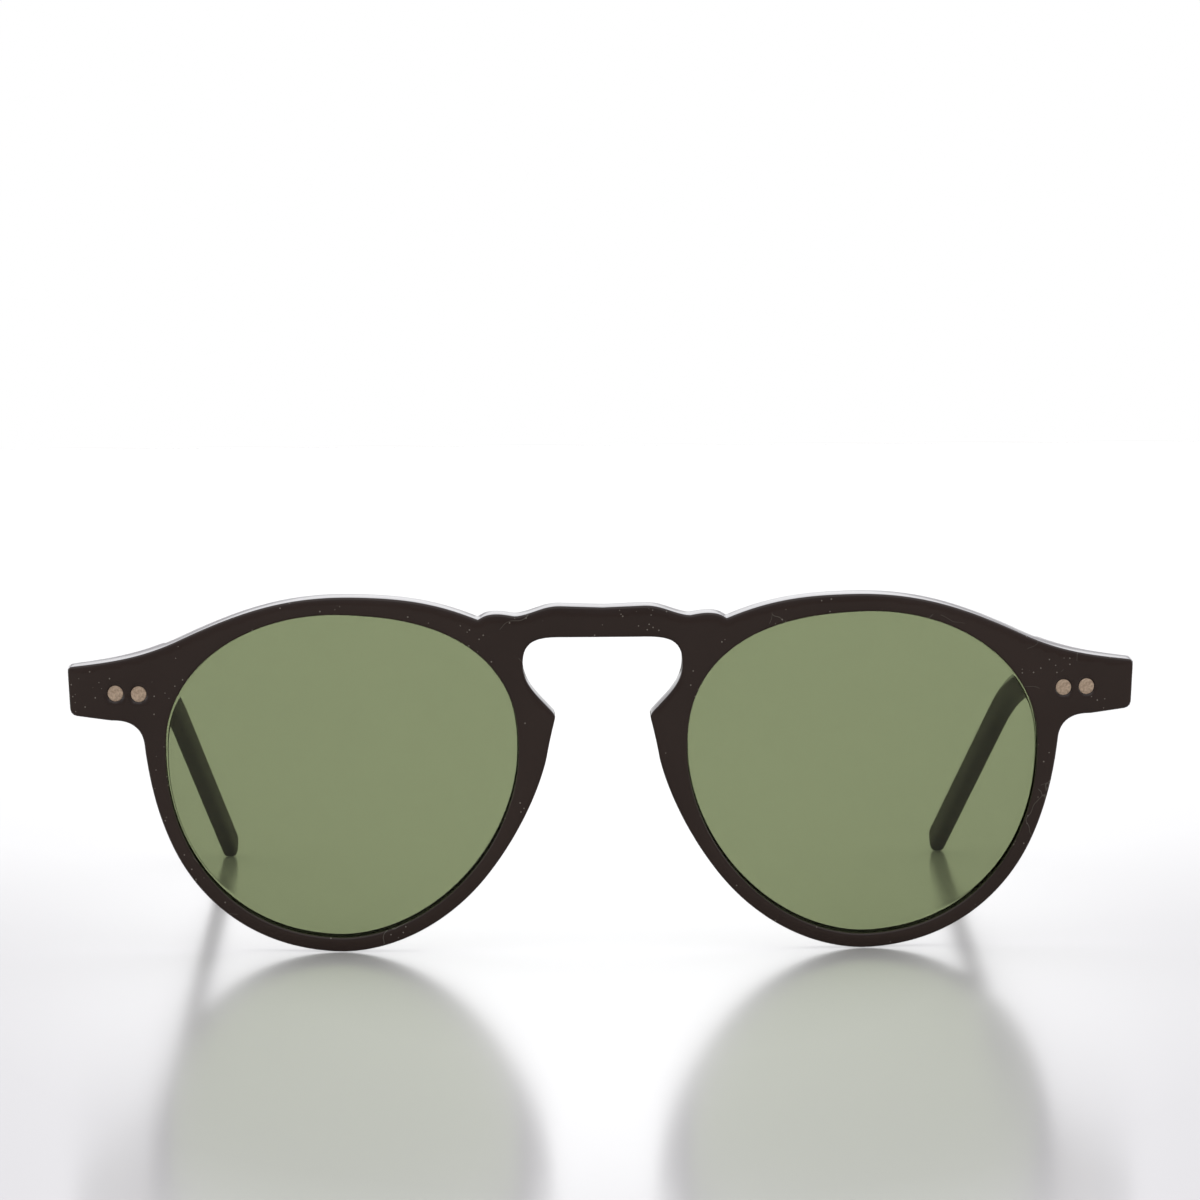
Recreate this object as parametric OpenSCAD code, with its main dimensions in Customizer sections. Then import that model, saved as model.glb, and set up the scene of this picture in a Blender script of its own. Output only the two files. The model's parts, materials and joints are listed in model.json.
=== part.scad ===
// Round plastic sunglasses with a keyhole bridge, riveted hinges and wire-cored temples.
// Sizes are in millimetres. +Z is up, the front looks along -Y and the temples run back along +Y.
// The open glasses stand on the table at Z = 0, on the two rims and the two temple tips.
// Left and right are the wearer's own, so the wearer's left is +X.

/* [Front] */
// Thickness of the front sheet
front_t = 4; // [3.6:0.1:5]
// Radius of the bow of the front
bow_r = 300; // [270:10:400]
// Lean of the front towards the viewer, in degrees
front_lean = 6; // [4:0.5:8]
// Rim above the eye opening
rim_top = 2.35; // [1.8:0.05:3.4]
// Rim beside the eye opening, on the temple side
rim_side = 2.9; // [2.2:0.1:3.4]
// Rim below the eye opening
rim_bottom = 1.9; // [1.5:0.1:2.6]
// Rim beside the eye opening, on the nose side
rim_nose = 3.7; // [3.2:0.1:4.4]

/* [Eyes] */
// Width of one eye opening
eye_w = 46.4; // [45:0.2:48]
// Height of one eye opening
eye_h = 43.2; // [41:0.2:46]
// Height of the eye opening above its widest line
eye_top = 18; // [16.5:0.1:20]
// Turn of the eye shape towards the nose, in degrees
eye_turn = 1.8; // [0:0.2:4]
// Distance between the two eye openings
eye_gap = 22.2; // [21:0.2:24]

/* [Bridge] */
// How far the bridge lies below the top of the brows
bridge_drop = 1.15; // [0.6:0.05:2]
// Height of the bridge bar above the keyhole
bridge_t = 4; // [3:0.1:5]
// Width of the keyhole at its widest
key_w = 20.9; // [18:0.1:21.4]
// Width of the keyhole at its neck
neck_w = 12.3; // [11:0.1:14]
// Height from the neck to the top of the keyhole
key_h = 10.3; // [9:0.1:12]

/* [End pieces] */
// How far an end piece runs out past the eye opening
end_l = 13; // [12.4:0.1:14.5]
// Height of the end piece at its outer edge
end_h = 6.5; // [5.8:0.1:7.4]
// Height of the end piece above the widest line of the eyes
end_rise = 7.15; // [6:0.05:8]
// Thickness of the end piece at its rivets
end_t = 4.2; // [3.8:0.1:5]

/* [Lenses] */
// Thickness of a lens
lens_t = 2; // [1.6:0.1:2.2]
// Depth of the front of a lens behind the front of the rim
lens_set = 1.1; // [0.8:0.1:1.3]
// Depth of the groove that holds a lens
groove_d = 0.8; // [0.5:0.1:1]
// Play between a lens and its groove
lens_play = 0.04; // [0.02:0.01:0.1]

/* [Nose pads] */
// Height of a nose pad
pad_h = 11; // [9:0.5:13]
// Width of a nose pad across the rim
pad_w = 3; // [2.2:0.1:3.4]
// Reach of a nose pad behind the front
pad_reach = 3.4; // [2.5:0.1:4.5]
// Splay of a nose pad, in degrees
pad_splay = 18; // [5:1:30]

/* [Hinges] */
// Distance of a hinge axis from the outer edge of the front
hinge_in = 5.3; // [4.6:0.1:5.6]
// Thickness of a hinge leaf
leaf_t = 0.9; // [0.7:0.05:1.1]
// Height of a hinge leaf and of its stack of barrels
leaf_h = 5.4; // [4.6:0.1:5.8]
// Outer diameter of the hinge barrels
barrel_d = 2.5; // [2.2:0.1:2.7]
// Gap between two neighbouring barrels
barrel_gap = 0.08; // [0.05:0.01:0.15]
// Diameter of the hinge screw
screw_d = 1.2; // [1:0.05:1.4]
// Radial play between the screw and the barrels
screw_play = 0.05; // [0.02:0.01:0.09]
// Diameter of the screw's head
screw_head_d = 2.1; // [1.8:0.1:2.4]
// Height of the screw's head
screw_head_h = 0.6; // [0.4:0.1:0.9]

/* [Rivets] */
// Diameter of a rivet's flush head
rivet_head_d = 2.1; // [1.8:0.1:2.4]
// Diameter of a rivet's shank
rivet_d = 1.3; // [1:0.1:1.5]
// Distance between the two front rivets
rivet_pitch = 3.1; // [2.9:0.1:3.6]
// Distance of the outer front rivet's head from the outer edge of the front
rivet_in = 6.4; // [6:0.1:6.8]
// Distance between the two temple rivets
temple_rivet_pitch = 4; // [3:0.1:5]
// Play round a rivet
rivet_play = 0.02; // [0.01:0.01:0.05]

/* [Temples] */
// Thickness of a temple at its hinge
temple_t = 3.2; // [3:0.1:3.6]
// Thickness of a temple at its tip
tip_t = 2.4; // [2.2:0.1:3]
// Height of a temple at its hinge
temple_h = 6.4; // [6:0.1:7]
// Height of a temple at its tip
tip_h = 4; // [3.6:0.1:5]
// Length over which a temple tapers
taper_l = 50; // [30:1:70]
// Distance from the hinge at which the bend behind the ear starts
bend_at = 54; // [44:1:60]
// Radius of the bend
bend_r = 80; // [60:5:100]
// Fall of the straight part of a temple, in degrees
temple_fall = 3; // [1:0.5:5]
// Fall of the straight tip behind the bend, in degrees
tip_fall = 24.5; // [22:0.5:28]
// Turn of a temple towards the head, in degrees
toe_in = 5.8; // [3:0.1:7]
// Gap between a temple's butt and its end piece
butt_gap = 0.1; // [0.05:0.01:0.2]
// Thickness of the flat wire inside a temple
core_t = 0.9; // [0.6:0.1:1.2]
// Height of the flat wire inside a temple
core_h = 1.8; // [1.2:0.1:2.4]

/* [Hidden] */

acetate = [0.16, 0.14, 0.13];
glass_green = [0.5, 0.57, 0.43, 0.8];
steel = [0.72, 0.7, 0.66];
rivet_metal = [0.72, 0.63, 0.54];

// A sphere this fine stays within 0.05 mm of the true bow
ball_fn = 180;
round_fn = 48;
// Length by which a cutting shape passes the face that it cuts
over = 1;

// Heights in the plane of the front, measured from the bottom of the rims
eye_y = rim_bottom + eye_h - eye_top;
brow_y = eye_y + eye_top + rim_top;
bridge_y = brow_y - bridge_drop;
key_top = bridge_y - bridge_t;
neck_y = key_top - key_h;
belly_y = key_top - key_h / 3;
end_y = eye_y + end_rise;
end_top = end_y + end_h / 2;
end_low = end_y - end_h / 2;

// Distances from the middle of the front
eye_x = eye_gap / 2 + eye_w / 2;
rim_x = eye_x + eye_w / 2 + rim_side;
end_x = eye_x + eye_w / 2 + end_l;
hinge_x = end_x - hinge_in;
rivet_x = end_x - rivet_in;
key_x = key_w / 2;
neck_x = neck_w / 2;
brow_in = 1.3;
brow_x = eye_x - brow_in;

// How the rim grows towards the widest line of the eye, over this height below it
side_swell = 13;
nose_swell = 15;

function mix(a, b, t) = a + (b - a) * t;
function along(p, angle, length) = p + length * [cos(angle), sin(angle)];
function mirrored(points) = [for (i = [len(points) - 1:-1:0]) [-points[i].x, points[i].y]];

// A smooth curve from p to q that leaves and arrives in the given directions, without its last point
function flow(p, p_angle, q, q_angle, steps, ease = 0.37) =
    let (
        reach = ease * norm(q - p),
        a = along(p, p_angle, reach),
        b = along(q, q_angle, -reach)
    )
    [for (i = [0:steps - 1])
        let (t = i / steps, s = 1 - t)
        s * s * s * p + 3 * s * s * t * a + 3 * s * t * t * b + t * t * t * q];

// The eye shape is four quarters of superellipses; angle 0 is the temple side and 90 the brow
function eye_power(angle) = angle < 90 ? 2 : angle < 180 ? 2.45 : angle < 270 ? 1.85 : 2.15;
function eye_half(angle) = angle <= 180 ? eye_top : eye_h - eye_top;
function turned(p, angle) = [p.x * cos(angle) - p.y * sin(angle), p.x * sin(angle) + p.y * cos(angle)];
function eye_local(angle, grow) =
    let (n = eye_power(angle), c = cos(angle), s = sin(angle))
    [(eye_w / 2 + grow) * sign(c) * pow(abs(c), 2 / n),
        (eye_half(angle) + grow) * sign(s) * pow(abs(s), 2 / n)];
function eye_point(angle, grow = 0) = [eye_x, eye_y] + turned(eye_local(angle, grow), eye_turn);
function eye_shape(grow, steps) = [for (i = [0:steps - 1]) eye_point(360 * i / steps, grow)];

// The rim's outer edge follows the eye shape at the rim's own width
function rim_width(angle) =
    let (
        below = -eye_local(angle, 0).y,
        swell = angle < 270 ? nose_swell : side_swell,
        full = angle < 270 ? rim_nose : rim_side,
        s = max(0, 1 - below / swell)
    )
    rim_bottom + (full - rim_bottom) * s * s;
function eye_normal(angle) =
    let (
        n = eye_power(angle),
        p = eye_local(angle, 0),
        a = eye_w / 2,
        b = eye_half(angle),
        slope = [sign(p.x) * pow(abs(p.x) / a, n - 1) / a, sign(p.y) * pow(abs(p.y) / b, n - 1) / b]
    )
    turned(slope / norm(slope), eye_turn);
function rim_point(angle) = eye_point(angle) + rim_width(angle) * eye_normal(angle);

// The wearer's left half of the front's outline, clockwise from the middle of the bridge
rim_steps = 44;
dip = [key_x + 0.9, bridge_y - 1.25];
bump = [key_x + 3.3, bridge_y - 0.95];
notch = [key_x + 5.8, bridge_y - 1.7];
brow = [brow_x, brow_y];
shoulder = [mix(brow_x, end_x, 0.6), mix(brow_y, end_top, 0.6)];
under = [end_x - 5.8, end_low - 0.45];
neck = [neck_x, neck_y];
belly = [key_x, belly_y];
bridge_end = [key_x - 4.8, bridge_y + 0.1];
key_end = [key_x - 4.8, key_top];
half_outline = concat(
    [[0, bridge_y - 0.1]],
    flow(bridge_end, 0, dip, -8, 6),
    flow(dip, 8, bump, 0, 4),
    flow(bump, 0, notch, -40, 4),
    flow(notch, 22, brow, 0, 9),
    flow(brow, 0, shoulder, -26, 9),
    flow(shoulder, -26, [end_x - 0.5, end_top + 0.05], -8, 7),
    flow([end_x - 0.5, end_top + 0.05], -8, [end_x, end_top - 0.5], -90, 3),
    flow([end_x - 0.3, end_low + 0.9], -92, [end_x - 1.3, end_low], -184, 4),
    flow(under, -184, rim_point(359), -94, 8, 0.45),
    [for (i = [0:rim_steps - 1]) rim_point(359 - i * 179 / rim_steps)],
    flow(rim_point(180), 100, along(neck, -76, 0.5), 104, 4),
    flow(along(neck, -76, 0.5), 104, along(neck, 48, 0.5), 48, 3),
    flow(along(neck, 48, 0.5), 48, belly, 90, 8),
    flow(belly, 90, key_end, 180, 8, 0.5),
    [key_end, [0, key_top]]
);

// The front is cut from a shell about a ball whose centre lies behind the middle of the front
function bow(x, y) = bow_r - sqrt(bow_r * bow_r - x * x - (y - eye_y) * (y - eye_y));
// A point of the front's outer face, leant over and stood on the table
foot = bow(eye_x, 0) * sin(front_lean);
function leant(x, y) = [
    x,
    bow(x, y) * cos(front_lean) - y * sin(front_lean),
    bow(x, y) * sin(front_lean) + y * cos(front_lean) - foot];

// How far the barrels stand off the front leaf, and the temple off the barrels
barrel_stand = 0.1;
temple_stand = 0.15;
// How far the temple leaf stands proud of the temple, and its play in its pocket
leaf_proud = 0.05;
pocket_play = 0.03;
// Play between a nose pad and the back of the front
pad_play = 0.06;

// The seat of the hinge leaf, and the hinge axis behind it
barrel_r = barrel_d / 2;
axis_back = leaf_t + barrel_r + barrel_stand;
rivet_mid = rivet_x - rivet_pitch / 2;
seat_point = leant(rivet_mid, end_y);
seat_in = 2.6;
seat_start = rim_x - seat_in;
hinge_y = seat_point.y + end_t + (hinge_x - rivet_mid) * tan(toe_in) + axis_back / cos(toe_in);
hinge_z = seat_point.z;

// The barrels, counted from the bottom: the front leaf has the even ones
barrels = 5;
barrel_h = (leaf_h - (barrels - 1) * barrel_gap) / barrels;
barrel_step = barrel_h + barrel_gap;

// The temple, in the hinge's own frame: x away from the head, y back, z up
temple_in = barrel_r + temple_stand;
temple_out = temple_in + temple_t;
temple_front = butt_gap - axis_back;
temple_leaf_x = temple_in - leaf_proud;
temple_leaf_h = 0.85 * leaf_h;
temple_leaf_y = 0.4;
temple_leaf_l = 12.5;
temple_rivet_y = 5;
bend_z = -bend_at * tan(temple_fall);
bend_end_y = bend_at + bend_r * (sin(tip_fall) - sin(temple_fall));
bend_end_z = bend_z - bend_r * (cos(temple_fall) - cos(tip_fall));
tip_z = tip_h / 2 - hinge_z;
reach_y = bend_end_y + (bend_end_z - tip_z) / tan(tip_fall);
bend_steps = 16;
tip_steps = 6;

// Half of the depth of the whole, so that the origin lies under its middle
front_y = leant(0, bridge_y).y;
back_y = hinge_y + (reach_y + tip_h / 2) * cos(toe_in) + temple_out * sin(toe_in);
mid_y = (front_y + back_y) / 2;

// The middle line of the temple as [back, up, fall], from its butt to its tip
temple_line = concat(
    [for (i = [0:3])
        let (y = i == 0 ? temple_front : i * bend_at / 4)
        [y, -y * tan(temple_fall), temple_fall]],
    [for (i = [0:bend_steps])
        let (fall = mix(temple_fall, tip_fall, i / bend_steps))
        [bend_at + bend_r * (sin(fall) - sin(temple_fall)),
            bend_z - bend_r * (cos(temple_fall) - cos(fall)), fall]],
    [for (i = [1:tip_steps])
        let (t = i / tip_steps)
        [mix(bend_end_y, reach_y, t), mix(bend_end_z, tip_z, t), tip_fall]]
);
function taper(back) = let (t = min(1, max(0, back) / taper_l)) t * t * (3 - 2 * t);
function temple_half(back) = mix(temple_h, tip_h, taper(back)) / 2;
function temple_edge(side) =
    [for (p = temple_line) [p[0], p[1]] + side * temple_half(p[0]) * [sin(p[2]), cos(p[2])]];
function reversed(points) = [for (i = [len(points) - 1:-1:0]) points[i]];

module stand() {
    translate([0, -mid_y, 0]) children();
}

// Puts what is drawn in the plane of the front at its lean on the table
module lean() {
    stand() translate([0, 0, -foot]) rotate([front_lean, 0, 0]) children();
}

// Puts what is drawn for the wearer's left side at its hinge, or mirrors it for the right
module at_hinge(side) {
    stand() mirror([side > 0 ? 0 : 1, 0, 0]) translate([hinge_x, hinge_y, hinge_z])
        rotate([0, 0, toe_in]) children();
}

// A flat shape in the plane of the front, carried straight back through it
module through_front(depth = 24) {
    rotate([90, 0, 0]) translate([0, 0, -depth]) linear_extrude(depth + 2) children();
}

module bow_ball(depth) {
    translate([0, bow_r, eye_y]) sphere(r = bow_r - depth, $fn = ball_fn);
}

// All that lies behind the flat face that touches the bow at the point (x, y) of the front,
// or behind the same face moved in by a depth
module behind_bow(x, y, depth) {
    translate([0, bow_r, eye_y]) rotate([0, 0, asin(x / bow_r)]) rotate([-asin((y - eye_y) / bow_r), 0, 0])
        translate([-end_x / 2, depth - bow_r, -end_x / 2]) cube(end_x);
}

// A shell between two depths behind the front face
module bow_shell(from_depth, to_depth) {
    difference() {
        bow_ball(from_depth);
        bow_ball(to_depth);
    }
}

module eye_face(side, grow = 0, steps = 96) {
    mirror([side > 0 ? 0 : 1, 0, 0]) polygon(eye_shape(grow, steps));
}

// The hollow behind the front: inside the shell, but not behind the end pieces
module front_hollow() {
    difference() {
        bow_ball(front_t);
        for (side = [-1, 1]) {
            translate([side * (seat_start + end_x), 0, end_y])
                cube([2 * end_x, 90, 3 * end_h], center = true);
        }
    }
}

// Everything behind the seat of one hinge leaf, in the hinge's frame
module seat_cut() {
    translate([seat_start - hinge_x - over, -axis_back, -2 * end_h])
        cube([end_x - seat_start + 6, 30, 4 * end_h]);
}

// Metal of a leaf around its last rivet
leaf_edge = 0.6;

// A rivet has a flush head outside, a shank through the plastic and the leaf, and a flattened end inside
front_head_h = 0.8;
temple_head_h = 0.7;
peen_d = rivet_d + 0.4;
peen_h = 0.2;
peen_gap = 0.02;
shank_end = 0.1;
rivet_over = 3;

// A rivet of the front in its place, from before the front face to behind the leaf
function front_rivet_x(i) =
    (rivet_x - i * rivet_pitch - hinge_x) / cos(toe_in) - (axis_back + end_t) * tan(toe_in);
module front_rivet(i, play) {
    face = -axis_back - end_t;
    translate([front_rivet_x(i), face, 0]) rotate([-90, 0, 0]) {
        translate([0, 0, -rivet_over])
            cylinder(d = rivet_head_d + 2 * play, h = rivet_over + front_head_h, $fn = round_fn);
        cylinder(d = rivet_d + 2 * play, h = end_t + leaf_t + shank_end, $fn = round_fn);
    }
}

module front_frame() {
    color(acetate) difference() {
        lean() difference() {
            intersection() {
                through_front() difference() {
                    polygon(concat(half_outline, mirrored([for (p = half_outline) if (p.x > 0) p])));
                    for (side = [-1, 1]) eye_face(side);
                }
                bow_ball(0);
            }
            front_hollow();
            for (side = [-1, 1]) intersection() {
                through_front() eye_face(side, groove_d + lens_play);
                bow_shell(lens_set - lens_play, lens_set + lens_t + lens_play);
            }
        }
        for (side = [-1, 1]) at_hinge(side) {
            seat_cut();
            for (i = [0, 1]) front_rivet(i, rivet_play);
        }
    }
}

module lens(side) {
    color(glass_green) lean() intersection() {
        through_front() eye_face(side, groove_d);
        bow_shell(lens_set, lens_set + lens_t);
    }
}

// The nose pad covers the rim beside the neck of the keyhole and swells behind it.
// Its flat face clears the bow of the front, which bends back by pad_lift over the pad's height.
pad_low = neck_y - 0.45 * pad_h;
pad_high = neck_y + 0.55 * pad_h;
pad_mid = (pad_low + pad_high) / 2;
pad_lift = pad_h * pad_h / 8 / (bow_r - front_t);
pad_swell_r = (pad_h * pad_h / 4 + pad_reach * pad_reach) / (2 * pad_reach);
module nose_pad(side) {
    edge = [for (p = half_outline) if (p.x < key_x && p.y > pad_low && p.y < min(pad_high, belly_y)) p];
    color(acetate) lean() mirror([side > 0 ? 0 : 1, 0, 0]) intersection() {
        translate([neck_x, front_t, 0]) rotate([0, 0, -pad_splay]) translate([-neck_x, -front_t, 0])
            through_front() polygon(concat(edge, reversed([for (p = edge) p + [pad_w, 0]])));
        behind_bow(neck_x + pad_w / 2, pad_mid, front_t + pad_lift + pad_play);
        translate([0, front_t + pad_reach - pad_swell_r, pad_mid]) rotate([0, 90, 0])
            cylinder(r = pad_swell_r, h = 2 * end_x, $fn = 96);
    }
}

module front_rivet_piece(side, i) {
    color(rivet_metal) intersection() {
        at_hinge(side) {
            front_rivet(i, 0);
            translate([front_rivet_x(i), leaf_t - axis_back + peen_gap, 0]) rotate([-90, 0, 0])
                cylinder(d = peen_d, h = peen_h, $fn = round_fn);
        }
        lean() mirror([side > 0 ? 0 : 1, 0, 0]) behind_bow(rivet_x - i * rivet_pitch, end_y, 0);
    }
}

// One barrel of a hinge, counted from the bottom of the stack
module barrel(i) {
    translate([0, 0, i * barrel_step - leaf_h / 2]) cylinder(r = barrel_r, h = barrel_h, $fn = round_fn);
}

module screw_bore() {
    cylinder(d = screw_d + 2 * screw_play, h = 3 * leaf_h, center = true, $fn = round_fn);
}

module front_hinge_leaf(side) {
    inner_x = front_rivet_x(1) - rivet_head_d / 2 - leaf_edge;
    web_in = barrel_r / 3;
    color(steel) at_hinge(side) difference() {
        union() {
            translate([inner_x, -axis_back, -leaf_h / 2]) cube([barrel_r - inner_x, leaf_t, leaf_h]);
            for (i = [0:2:barrels - 1]) {
                barrel(i);
                translate([-web_in, -axis_back, i * barrel_step - leaf_h / 2])
                    cube([web_in + barrel_r, axis_back, barrel_h]);
            }
        }
        screw_bore();
        for (i = [0, 1]) front_rivet(i, rivet_play);
    }
}

module hinge_screw(side) {
    slot_w = 0.4;
    head_gap = 0.02;
    color(steel) at_hinge(side) difference() {
        union() {
            translate([0, 0, -leaf_h / 2])
                cylinder(d = screw_d, h = leaf_h + 2 * head_gap, $fn = round_fn);
            translate([0, 0, leaf_h / 2 + head_gap])
                cylinder(d = screw_head_d, h = screw_head_h, $fn = round_fn);
        }
        translate([0, 0, leaf_h / 2 + screw_head_h])
            cube([screw_head_d + over, slot_w, screw_head_h], center = true);
    }
}

// A rivet of the temple in its place, from outside the temple to its leaf
module at_temple_rivet(i) {
    y = temple_rivet_y + i * temple_rivet_pitch;
    translate([0, y, -y * tan(temple_fall)]) rotate([0, 90, 0]) children();
}

module temple_rivet(i, play) {
    at_temple_rivet(i) {
        translate([0, 0, temple_out - temple_head_h])
            cylinder(d = rivet_head_d + 2 * play, h = temple_head_h, $fn = round_fn);
        translate([0, 0, temple_leaf_x - shank_end])
            cylinder(d = rivet_d + 2 * play, h = temple_out - temple_leaf_x, $fn = round_fn);
    }
}

// The temple leaf lies in a pocket in the temple's inner face and follows its fall
module temple_leaf_plate(play) {
    rotate([-temple_fall, 0, 0]) translate([temple_leaf_x, temple_leaf_y - play, -temple_leaf_h / 2 - play])
        cube([leaf_t + play, temple_leaf_l + 2 * play, temple_leaf_h + 2 * play]);
}

module temple_hinge_leaf(side) {
    color(steel) at_hinge(side) difference() {
        union() {
            temple_leaf_plate(0);
            for (i = [1:2:barrels - 2]) {
                barrel(i);
                translate([0, 0, i * barrel_step - leaf_h / 2])
                    cube([temple_leaf_x + leaf_t, barrel_r, barrel_h]);
            }
        }
        screw_bore();
        for (i = [0, 1]) temple_rivet(i, rivet_play);
    }
}

module temple_rivet_piece(side, i) {
    color(rivet_metal) at_hinge(side) {
        temple_rivet(i, 0);
        at_temple_rivet(i) translate([0, 0, temple_leaf_x - peen_gap - peen_h])
            cylinder(d = peen_d, h = peen_h, $fn = round_fn);
    }
}

// The temple seen from the side, with its rounded tip
module temple_side_face() {
    last = temple_line[len(temple_line) - 1];
    tip = [for (a = [75:-15:-75]) along([last[0], last[1]], a - last[2], tip_h / 2)];
    polygon(concat(temple_edge(1), tip, reversed(temple_edge(-1))));
}

// The temple seen from above, thinner towards its tip
module temple_plan_face() {
    ys = concat([temple_front], [for (i = [1:6]) i * taper_l / 6], [reach_y + tip_h]);
    polygon(concat(
        [for (y = ys) [temple_out, y]],
        reversed([for (y = ys) [temple_out - mix(temple_t, tip_t, taper(y)), y]])
    ));
}

module temple_blank() {
    intersection() {
        rotate([90, 0, 90]) linear_extrude(temple_out + over) temple_side_face();
        translate([0, 0, -hinge_z - over]) linear_extrude(2 * hinge_z) temple_plan_face();
    }
}

// The core wire is a flat strip along the middle of the temple, from behind the leaf to near the tip
core_gap = 3;
core_front = temple_leaf_y + temple_leaf_l + core_gap;
core_end = reach_y - 2 * tip_h;
core_play = 0.02;
core_line = concat(
    [[core_front, -core_front * tan(temple_fall), temple_fall]],
    [for (p = temple_line) if (p[0] > core_front + 1 && p[0] < core_end) p]
);
function core_edge(half) = [for (p = core_line) [p[0], p[1]] + half * [sin(p[2]), cos(p[2])]];

module core_wire_shape(play) {
    half = core_h / 2 + play;
    translate([temple_out - (tip_t + core_t) / 2 - play, 0, 0]) rotate([90, 0, 90])
        linear_extrude(core_t + 2 * play) polygon(concat(core_edge(half), reversed(core_edge(-half))));
}

// The hollow in the butt of the temple that clears the barrels
notch_play = 0.1;
module barrel_notch() {
    depth = axis_back + barrel_r / 2 + over;
    translate([0, -over - axis_back, -leaf_h / 2 - notch_play])
        cube([temple_leaf_x + leaf_t + notch_play, depth, leaf_h + 2 * notch_play]);
}

module temple(side) {
    color(acetate) at_hinge(side) difference() {
        temple_blank();
        temple_leaf_plate(pocket_play);
        barrel_notch();
        for (i = [0, 1]) temple_rivet(i, rivet_play);
        core_wire_shape(core_play);
    }
}

module core_wire(side) {
    color(steel) at_hinge(side) core_wire_shape(0);
}

front_frame();
lens(1);  // lens_left
lens(-1);  // lens_right
nose_pad(1);  // nose_pad_left
nose_pad(-1);  // nose_pad_right
front_rivet_piece(1, 0);  // front_rivet_outer_left
front_rivet_piece(1, 1);  // front_rivet_inner_left
front_rivet_piece(-1, 0);  // front_rivet_outer_right
front_rivet_piece(-1, 1);  // front_rivet_inner_right
front_hinge_leaf(1);  // front_hinge_leaf_left
front_hinge_leaf(-1);  // front_hinge_leaf_right
hinge_screw(1);  // hinge_screw_left
hinge_screw(-1);  // hinge_screw_right
temple(1);  // temple_left
temple(-1);  // temple_right
temple_hinge_leaf(1);  // temple_hinge_leaf_left
temple_hinge_leaf(-1);  // temple_hinge_leaf_right
temple_rivet_piece(1, 0);  // temple_rivet_front_left
temple_rivet_piece(1, 1);  // temple_rivet_rear_left
temple_rivet_piece(-1, 0);  // temple_rivet_front_right
temple_rivet_piece(-1, 1);  // temple_rivet_rear_right
core_wire(1);  // core_wire_left
core_wire(-1);  // core_wire_right
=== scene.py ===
"""Studio picture of the round sunglasses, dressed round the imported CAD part.

Lengths are in millimetres, as in the part's source. Where Blender takes metres, MM turns them.
The wearer's left is +X, the front looks along -Y and +Z is up.
"""
import json
import math

import bmesh
import bpy
import numpy as np
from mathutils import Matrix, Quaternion, Vector
from mathutils.geometry import delaunay_2d_cdt


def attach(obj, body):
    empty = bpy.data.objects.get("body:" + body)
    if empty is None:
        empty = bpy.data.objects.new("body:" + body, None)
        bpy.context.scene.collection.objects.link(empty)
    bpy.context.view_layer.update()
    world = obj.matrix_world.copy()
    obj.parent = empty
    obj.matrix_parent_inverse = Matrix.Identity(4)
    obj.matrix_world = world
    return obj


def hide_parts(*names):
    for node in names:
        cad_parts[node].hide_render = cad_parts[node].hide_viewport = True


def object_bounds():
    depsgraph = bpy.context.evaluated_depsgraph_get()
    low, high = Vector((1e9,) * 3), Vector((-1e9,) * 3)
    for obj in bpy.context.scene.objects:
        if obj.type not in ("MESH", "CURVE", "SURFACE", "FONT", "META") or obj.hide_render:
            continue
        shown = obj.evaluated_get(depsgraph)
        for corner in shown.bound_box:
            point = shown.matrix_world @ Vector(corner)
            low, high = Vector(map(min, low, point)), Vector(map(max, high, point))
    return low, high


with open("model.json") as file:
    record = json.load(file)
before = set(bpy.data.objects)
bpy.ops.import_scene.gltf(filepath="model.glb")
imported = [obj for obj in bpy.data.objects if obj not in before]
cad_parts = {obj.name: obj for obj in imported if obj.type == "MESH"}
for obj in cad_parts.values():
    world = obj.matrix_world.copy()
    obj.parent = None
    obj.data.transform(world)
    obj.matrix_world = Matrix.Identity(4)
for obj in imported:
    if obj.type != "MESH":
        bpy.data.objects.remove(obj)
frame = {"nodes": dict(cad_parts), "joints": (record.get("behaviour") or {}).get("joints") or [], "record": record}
cad_box = [list(corner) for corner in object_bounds()]
MM = 0.001
SIDES = {"left": 1, "right": -1}


# The driving sizes of the front and its hinges, as in the part's source

FRONT_T, BOW_R, LEAN = 4.0, 300.0, math.radians(6)
RIM_TOP, RIM_SIDE, RIM_BOTTOM, RIM_NOSE = 2.35, 2.9, 1.9, 3.7
EYE_W, EYE_H, EYE_TOP, EYE_TURN, EYE_GAP = 46.4, 43.2, 18.0, 1.8, 22.2
BRIDGE_DROP, BRIDGE_T = 1.15, 4.0
KEY_W, NECK_W, KEY_H = 20.9, 12.3, 10.3
END_L, END_H, END_RISE, END_T = 13.0, 6.5, 7.15, 4.2
LENS_T, LENS_SET, GROOVE_D, LENS_PLAY = 2.0, 1.1, 0.8, 0.04
HINGE_IN, TOE_IN = 5.3, math.radians(5.8)
LEAF_T, BARREL_R, BARREL_STAND = 0.9, 1.25, 0.1
RIVET_IN, RIVET_PITCH = 6.4, 3.1
RIVET_HEAD_R, RIVET_HEAD_H, RIVET_R = 1.05, 0.8, 0.65

# Heights in the plane of the front, measured from the bottom of the rims
EYE_Y = RIM_BOTTOM + EYE_H - EYE_TOP
BROW_Y = EYE_Y + EYE_TOP + RIM_TOP
BRIDGE_Y = BROW_Y - BRIDGE_DROP
KEY_TOP = BRIDGE_Y - BRIDGE_T
NECK_Y = KEY_TOP - KEY_H
BELLY_Y = KEY_TOP - KEY_H / 3
END_Y = EYE_Y + END_RISE
END_TOP = END_Y + END_H / 2
END_LOW = END_Y - END_H / 2

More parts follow.
